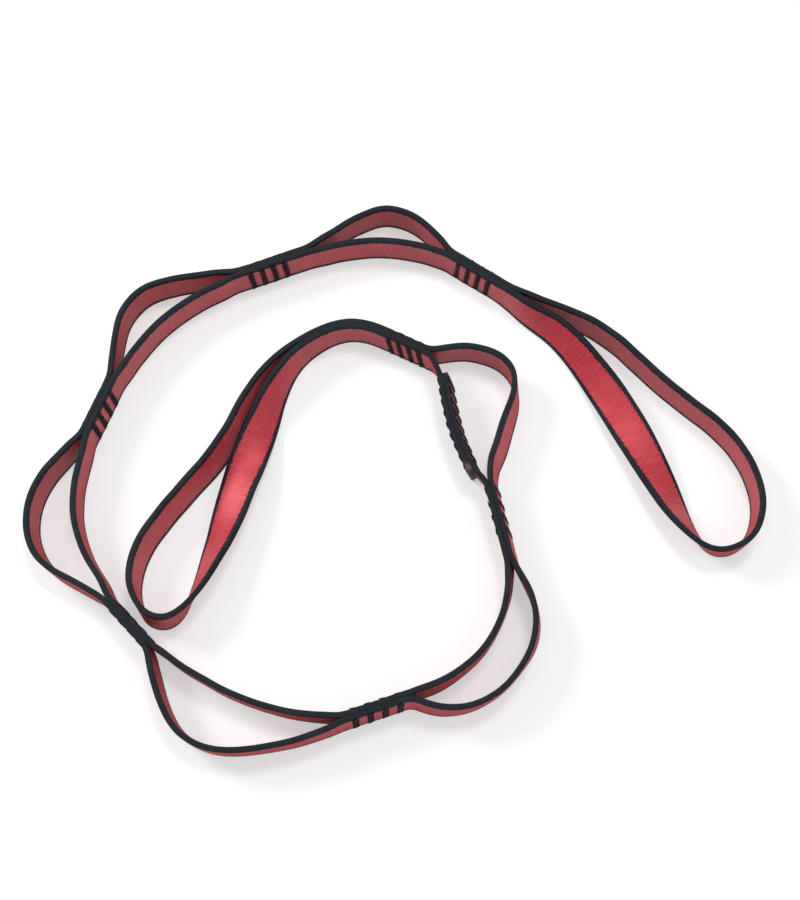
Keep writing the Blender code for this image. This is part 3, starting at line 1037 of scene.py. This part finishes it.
    def shape(self) -> Shape:
        """The webbing's surface: a grid rolled into a flat tube along the plan, with its ends closed.

        Returns:
            The bmesh, whose verts hold their place on the cloth.
        """
        section = self.section()
        stations = self.stations()
        columns, rows = len(section), len(stations) - 1
        shape = bmesh.new()
        bmesh.ops.create_grid(shape, x_segments=columns, y_segments=rows, size=0.5)
        for face in shape.faces:
            column = int((face.calc_center_median().x + 0.5) * columns)
            face.material_index = section[column].yarn.value
        cloth = shape.verts.layers.float_vector.new(PLACE_ATTRIBUTE)
        tree = tree_of(list(self.plan.tack_stations().values()))
        drawn = [self.draw_in(station, tree) for station in stations]
        half_width = self.plan.webbing.width / 2
        seam = {}
        for vert in shape.verts:
            column = round((vert.co.x + 0.5) * columns)
            row = round((vert.co.y + 0.5) * rows)
            seam.setdefault(row, {})[column] = vert
            point, station = section[column % columns], stations[row]
            valley = row % 2
            down = self.rib_relief * valley
            depth, side = drawn[row]
            pressed = depth if point.thickness * side > 0 and abs(point.width) < half_width else 0
            thickness = abs(point.thickness) - down * point.ribbed[0] - pressed
            seed = Vector((row * TOOTH_STEP, point.width * TOOTH_SPREAD, point.thickness * TOOTH_SPREAD))
            jump = self.tooth * (noise.noise(seed) + valley - 0.5)
            width = abs(point.width) - down * point.ribbed[1] - jump * point.toothed
            thickness = math.copysign(thickness, point.thickness) + self.stray(station.travelled)
            width = math.copysign(width, point.width)
            vert.co = station.at(thickness, width)
            vert.co.z = max(vert.co.z, 0.0)
            vert[cloth] = (row * self.rib_pitch / 2, point.width, point.thickness)
        targets = {row[columns]: row[0] for row in seam.values()}
        bmesh.ops.weld_verts(shape, targetmap=targets)
        rims = [edge for edge in shape.edges if edge.is_boundary]
        bmesh.ops.holes_fill(shape, edges=rims, sides=0)
        bmesh.ops.recalc_face_normals(shape, faces=shape.faces)
        return shape

    def build(self, finishes: Sequence[Material]) -> Object:
        """The webbing as a piece of the scene.

        Args:
            finishes: The materials of the body and selvedge yarns, in that order.

        Returns:
            The object.
        """
        made = smooth_object("webbing_band", self.shape(), finishes)
        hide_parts("webbing")
        fasten(made)
        return made


@dataclass
class BarTacks:
    """The bar tacks: a dense zigzag of thread over laid threads, on both outer faces of a seam."""

    plan: StrapPlan
    stroke_pitch: float = 0.00066  # From one stroke of the zigzag to the next, up the webbing
    stroke_radius: float = 0.00018  # Of the thread in a stroke
    overhang: float = 0.00026  # How far a stroke's hole is past the bar's own side
    sink: float = 0.00010  # How deep the thread bites into the webbing
    core_share: float = 0.40  # How much of the bar's width the laid threads have
    core_height: float = 0.00007  # How high the laid threads stand
    ragged: float = 0.00012  # How far a stroke's end strays
    fullness: float = 1.5  # How soon a stroke reaches its full thickness
    roundness: float = 1.5  # The power that rounds a stroke's ends
    stroke_sides: int = 6  # Faces round a stroke, and along it
    core_bevel: float = 0.4  # The rounding of the laid threads, as a share of their height

    def add_stroke(self, shape: Shape, ply: Any, start: Vector, end: Vector, axes: Matrix) -> None:
        """One stroke of thread, as thick all along and round at both ends.

        Args:
            shape: The bmesh that it goes into.
            ply: The layer that holds the place on the thread.
            start: Where it comes up, in the tack's own axes.
            end: Where it goes down.
            axes: The tack's axes and place.
        """
        span = end - start
        turn = span.to_track_quat("Z", "Y").to_matrix().to_4x4()
        radius, sides = self.stroke_radius, self.stroke_sides
        size = Matrix.Diagonal((radius, radius, span.length / 2 + radius, 1))
        local = Matrix.Translation((start + end) / 2) @ turn @ size
        verts = bmesh.ops.create_uvsphere(shape, u_segments=sides, v_segments=sides, radius=1)["verts"]
        for vert in verts:
            around = math.atan2(vert.co.y, vert.co.x)
            across = vert.co.xy.length
            full = math.copysign(1 - (1 - abs(vert.co.z)) ** self.roundness, vert.co.z)
            if across > 0:
                vert.co.xy *= min(1, self.fullness * across) / across
            vert.co.z = full
            vert[ply] = (full * span.length / 2, math.cos(2 * around), math.sin(2 * around))
        bmesh.ops.transform(shape, matrix=axes @ local, verts=verts)

    def add_core(self, shape: Shape, side: int, seat: float, axes: Matrix) -> None:
        """The laid threads under the zigzag, as one low rounded bar.

        Args:
            shape: The bmesh that it goes into.
            side: 1 or -1, for the seam's left or right face.
            seat: How far from the seam's middle the webbing's face is.
            axes: The tack's axes and place.
        """
        tack, webbing = self.plan.tack, self.plan.webbing
        height = self.core_height + self.sink
        size = Matrix.Diagonal((tack.width * self.core_share, webbing.width - 2 * tack.setback, height, 1))
        place = Matrix.Translation((0, 0, side * (seat + (self.core_height - self.sink) / 2)))
        verts = bmesh.ops.create_cube(shape, size=1, matrix=place @ size)["verts"]
        edges = list(dict.fromkeys(edge for vert in verts for edge in vert.link_edges))
        bevelled = bmesh.ops.bevel(
            shape, geom=edges, offset=height * self.core_bevel, segments=2, profile=0.5, affect="EDGES",
            material=-1,
        )
        every = {vert for face in bevelled["faces"] for vert in face.verts}
        every |= {vert for vert in verts if vert.is_valid}
        bmesh.ops.transform(shape, matrix=axes, verts=list(every))

    def build(self, name: str, station: Station, finish: Material) -> Object:
        """One bar tack as a piece of the scene.

        Args:
            name: The CAD node that it stands for.
            station: Its place on its seam.
            finish: The thread's material.

        Returns:
            The object.
        """
        draw = random.Random(name)
        shape = bmesh.new()
        ply = shape.verts.layers.float_vector.new(PLY_ATTRIBUTE)
        tack, webbing = self.plan.tack, self.plan.webbing
        seat = webbing.thickness - self.sink / 2
        axes = station.matrix()
        reach = webbing.width / 2 - tack.setback
        half = tack.width / 2 + self.overhang
        strokes = round(2 * reach / self.stroke_pitch)
        rise = 2 * reach / strokes
        for side in (1, -1):
            self.add_core(shape, side, seat, axes)
            ends = [
                Vector((
                    (half if number % 2 else -half) + draw.uniform(-self.ragged, self.ragged),
                    number * rise - reach + draw.uniform(-self.ragged, self.ragged),
                    side * (seat + draw.uniform(-self.sink, self.sink)),
                ))
                for number in range(strokes + 1)
            ]
            for start, end in zip(ends, ends[1:]):
                self.add_stroke(shape, ply, start, end, axes)
        for vert in shape.verts:
            vert.co.z = max(vert.co.z, 0)
        made = smooth_object(f"{name}_thread", shape, [finish])
        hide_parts(name)
        fasten(made)
        return made


@dataclass
class WebbingEnd:
    """The melted bead on a cut end, with frayed filaments where the flame didn't take them."""

    plan: StrapPlan
    overlap: float = 0.0011  # How far the bead reaches back over the webbing
    beyond: float = 0.0005  # How far it reaches past the cut
    swell: float = 0.00022  # How far it stands out from the webbing's faces
    lump: float = 0.00042  # How uneven it is
    fibre_count: int = 46  # Frayed filaments at a singed end
    fibre_length: float = 0.0034  # The longest of them
    fibre_radius: float = 0.00009  # Their radius at the root
    fibre_sides: int = 5  # Faces round a filament
    fibre_taper: float = 0.4  # Their radius at the tip, as a share of that at the root
    fibre_bend: float = 0.25  # The most that a filament bends, as a share of its length
    fibre_spread: float = 0.96  # How much of the webbing's width they stand on
    cuts_across: int = 22  # Cuts of the bead across the webbing
    cuts_round: int = 3  # Cuts of its other sides
    lump_seed: int = 1  # Which noise its lumps are read from
    lump_scale: float = 900  # How close together they are
    lump_stretch: Span = (1.5, 0.3)  # How strong they are along and across the webbing
    fused_share: float = 0.45  # How uneven a fused bead is against a singed one
    clearance: float = 0.00005  # The least height over the floor

    def add_bead(self, shape: Shape, kind: CutEnd) -> None:
        """The bead in the end's own axes, with the webbing behind it.

        Args:
            shape: The bmesh that it goes into, which is empty.
            kind: How the end was finished.
        """
        webbing = self.plan.webbing
        length = self.overlap + self.beyond
        thickness = webbing.thickness + 2 * self.swell
        size = Matrix.Diagonal((length, webbing.width - self.swell, thickness, 1))
        place = Matrix.Translation(((self.beyond - self.overlap) / 2, 0, 0))
        bmesh.ops.create_cube(shape, size=1, matrix=place @ size)
        wide = [edge for edge in shape.edges if abs((edge.verts[0].co - edge.verts[1].co).y) > length]
        bmesh.ops.subdivide_edges(shape, edges=wide, cuts=self.cuts_across, use_grid_fill=True)
        rest = [edge for edge in shape.edges if abs((edge.verts[0].co - edge.verts[1].co).y) < self.swell]
        bmesh.ops.subdivide_edges(shape, edges=rest, cuts=self.cuts_round, use_grid_fill=True)
        rough = 1.0 if kind is CutEnd.SINGED else self.fused_share
        along, across = self.lump_stretch
        noise.seed_set(self.lump_seed)
        for vert in shape.verts:
            push = noise.noise_vector(vert.co * self.lump_scale) * self.lump * rough
            vert.co += Vector((push.x * along, push.y * across, push.z))
        axes = {"use_axis_x": True, "use_axis_y": True, "use_axis_z": True}
        bmesh.ops.smooth_vert(shape, verts=shape.verts, factor=0.5, **axes)

    def add_fibres(self, shape: Shape, draw: random.Random) -> None:
        """The frayed filaments in the end's own axes.

        Args:
            shape: The bmesh that they go into.
            draw: The random draws.
        """
        webbing = self.plan.webbing
        for _ in range(self.fibre_count):
            root = Vector((
                draw.uniform(-self.overlap, 0),
                draw.uniform(-0.5, 0.5) * webbing.width * self.fibre_spread,
                draw.uniform(-0.5, 0.5) * webbing.thickness,
            ))
            way = Vector((draw.uniform(0.3, 1), draw.uniform(-0.5, 0.5), draw.uniform(-0.7, 0.7)))
            way.normalize()
            length = self.fibre_length * draw.uniform(0.3, 1)
            turn = way.to_track_quat("Z", "Y").to_matrix().to_4x4()
            made = bmesh.ops.create_cone(
                shape, cap_ends=True, segments=self.fibre_sides, radius1=self.fibre_radius,
                radius2=self.fibre_radius * self.fibre_taper, depth=length,
                matrix=Matrix.Translation(root + way * length / 2) @ turn,
            )
            bend = way.orthogonal() * draw.uniform(-self.fibre_bend, self.fibre_bend)
            for vert in made["verts"]:
                run = (vert.co - root).dot(way) / length
                vert.co += bend * length * run * run

    def build(self, kind: CutEnd, station: Station, finish: Material) -> Object:
        """An end as a piece of the scene.

        Args:
            kind: How the end was finished.
            station: Where the webbing ends.
            finish: The melted nylon's material.

        Returns:
            The object.
        """
        axes = station.matrix()
        if kind is CutEnd.SINGED:
            axes = axes @ Matrix.Rotation(math.pi, 4, "Y")
        shape = bmesh.new()
        self.add_bead(shape, kind)
        if kind is CutEnd.SINGED:
            self.add_fibres(shape, random.Random("frayed"))
        bmesh.ops.transform(shape, matrix=axes, verts=shape.verts)
        for vert in shape.verts:
            vert.co.z = max(vert.co.z, self.clearance)
        bmesh.ops.recalc_face_normals(shape, faces=shape.faces)
        made = smooth_object(f"{kind.value}_end", shape, [finish])
        fasten(made)
        return made


class Lamp(NamedTuple):
    """A square soft lamp that faces the middle of the floor.

    azimuth and elevation say where it hangs, in degrees, at that distance. size is its side and power
    its power in watts.
    """

    name: str
    azimuth: float
    elevation: float
    distance: float
    size: float
    power: float
    colour: Colour

    def place(self) -> Vector:
        """Where it hangs."""
        turn, rise = math.radians(self.azimuth), math.radians(self.elevation)
        way = Vector((math.cos(rise) * math.cos(turn), math.cos(rise) * math.sin(turn), math.sin(rise)))
        return way * self.distance


@dataclass
class Studio:
    """The floor, the lamps and the camera."""

    # The floor point under the camera, on the plan
    nadir: Vector = field(default_factory=lambda: Vector((0, -0.165, 0)))
    height: float = 0.4897
    tilt: float = 19.5  # How far the camera looks up from straight down, in degrees
    lens: float = 54.0  # Its focal length, in millimetres
    floor_size: float = 12.0
    lamps: tuple[Lamp, ...] = (
        Lamp("ceiling_lamp", 68, 69, 1.5, 0.32, 6.4, (1.0, 0.99, 0.97)),
        Lamp("window", 150, 36, 1.3, 0.36, 8.8, (0.97, 0.985, 1.0)),
        Lamp("side_lamp", -28, 42, 1.4, 0.9, 2.0, (1.0, 0.99, 0.98)),
    )
    # The room's light as a colour and a strength
    ambient: tuple[Colour, float] = ((0.93, 0.965, 1.0), 0.46)

    def add_floor(self) -> Object:
        """The floor, which the strap stands on.

        Returns:
            The object.
        """
        shape = bmesh.new()
        bmesh.ops.create_grid(shape, x_segments=4, y_segments=4, size=self.floor_size / 2)
        made = smooth_object("studio_floor", shape, [FloorFinish().material()])
        return made

    def add_lamp(self, lamp: Lamp) -> None:
        """Hangs one lamp.

        Args:
            lamp: The lamp.
        """
        data = bpy.data.lights.new(lamp.name, "AREA")
        data.size = lamp.size
        data.energy = lamp.power
        data.color = lamp.colour
        made = link(lamp.name, data)
        made.location = lamp.place()
        made.rotation_euler = lamp.place().to_track_quat("Z", "Y").to_euler()

    def add_room(self) -> None:
        """The room's soft light, white where the camera sees it."""
        world = bpy.data.worlds.new("studio")
        world.use_nodes = True
        bpy.context.scene.world = world
        world.node_tree.nodes.clear()
        graph = Graph(world.node_tree)
        colour, strength = self.ambient
        dim = graph.node("ShaderNodeBackground", {"Color": rgba(colour), "Strength": strength})
        white = graph.node("ShaderNodeBackground", {"Color": rgba((1, 1, 1)), "Strength": 1.0})
        inputs = {0: graph.seen(), 1: dim.outputs[0], 2: white.outputs[0]}
        both = graph.node("ShaderNodeMixShader", inputs)
        graph.node("ShaderNodeOutputWorld", {"Surface": both.outputs[0]})

    def add_camera(self, shift: Vector) -> None:
        """The camera at the photograph's viewing angle.

        Args:
            shift: From the plan's own origin to the frame's.
        """
        data = bpy.data.cameras.new("camera")
        data.sensor_fit = "HORIZONTAL"
        data.sensor_width = SENSOR_WIDTH
        data.lens = self.lens
        data.dof.use_dof = False
        made = link("camera", data)
        made.location = self.nadir + shift + Vector((0, 0, self.height))
        made.rotation_euler = (math.radians(self.tilt), 0, 0)
        bpy.context.scene.camera = made

    def build(self, shift: Vector) -> Object:
        """Sets the whole studio up.

        Args:
            shift: From the plan's own origin to the frame's.

        Returns:
            The floor.
        """
        bpy.context.scene.view_settings.view_transform = "Standard"
        self.add_camera(shift)
        self.add_room()
        for lamp in self.lamps:
            self.add_lamp(lamp)
        return self.add_floor()


def main() -> None:
    """Builds the studio and dresses the strap, and reports each piece."""
    logging.basicConfig(level=logging.INFO, format="%(name)s: %(message)s")
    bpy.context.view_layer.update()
    plan = StrapPlan()
    floor = Studio().build(plan.shift)
    LOG.info("plan lies %.3f, %.3f mm from the frame", plan.shift.x * 1000, plan.shift.y * 1000)

    band = WebbingBand(plan)
    body = NylonFinish(
        "red_body_yarn", colour=(0.57, 0.045, 0.061), painted_shade=(0.20, 0.012, 0.020), faded=(0.65, 0.072, 0.092),
        weft_and_glint=(0.72, 0.14, 0.15), fleck_share=0.1, roughness=0.27, specular=0.85, tint=(1.0, 0.26, 0.28),
        rib_pitch=band.rib_pitch,
    )
    selvedge = NylonFinish(
        "black_selvedge_yarn", colour=(0.005, 0.008, 0.012), painted_shade=(0.0015, 0.0025, 0.0035),
        faded=(0.014, 0.020, 0.027), weft_and_glint=(0.05, 0.018, 0.018), fleck_share=0.15, roughness=0.62,
        specular=0.2, tint=(1.0, 1.0, 1.0), rib_pitch=band.rib_pitch, relief=0.00004, furrow_shade=0.12, graze=0.2,
    )
    webbing = band.build([body.material(), selvedge.material()])
    LOG.info("%s: %d vertices", webbing.name, len(webbing.data.vertices))

    thread = ThreadFinish("black_thread").material()
    tacks = BarTacks(plan)
    bulky = replace(tacks, core_height=0.00036, stroke_radius=0.00028)
    pieces = [
        (bulky if name.startswith("splice") else tacks).build(name, station, thread)
        for name, station in plan.tack_stations().items()
    ]
    LOG.info("%d bar tacks of %d vertices each", len(pieces), len(pieces[0].data.vertices))

    singed = MeltedFinish("singed_nylon", colour=(0.12, 0.105, 0.10), char=(0.035, 0.030, 0.030))
    fused = MeltedFinish(
        "fused_nylon", colour=(0.030, 0.030, 0.034), char=(0.012, 0.011, 0.011), char_share=0.6,
    )
    end = WebbingEnd(plan)
    first, *_, last = band.stations()
    pieces.append(end.build(CutEnd.SINGED, first, singed.material()))
    pieces.append(end.build(CutEnd.FUSED, last, fused.material()))
    LOG.info("two cut ends, %s and %s", pieces[-2].name, pieces[-1].name)

    length = plan.even_stations(band.rib_pitch)[-1].travelled
    LOG.info("webbing cut to %.0f x %.0f mm", plan.webbing.width * 1000, length * 1000)


if __name__ == "__main__":
    main()
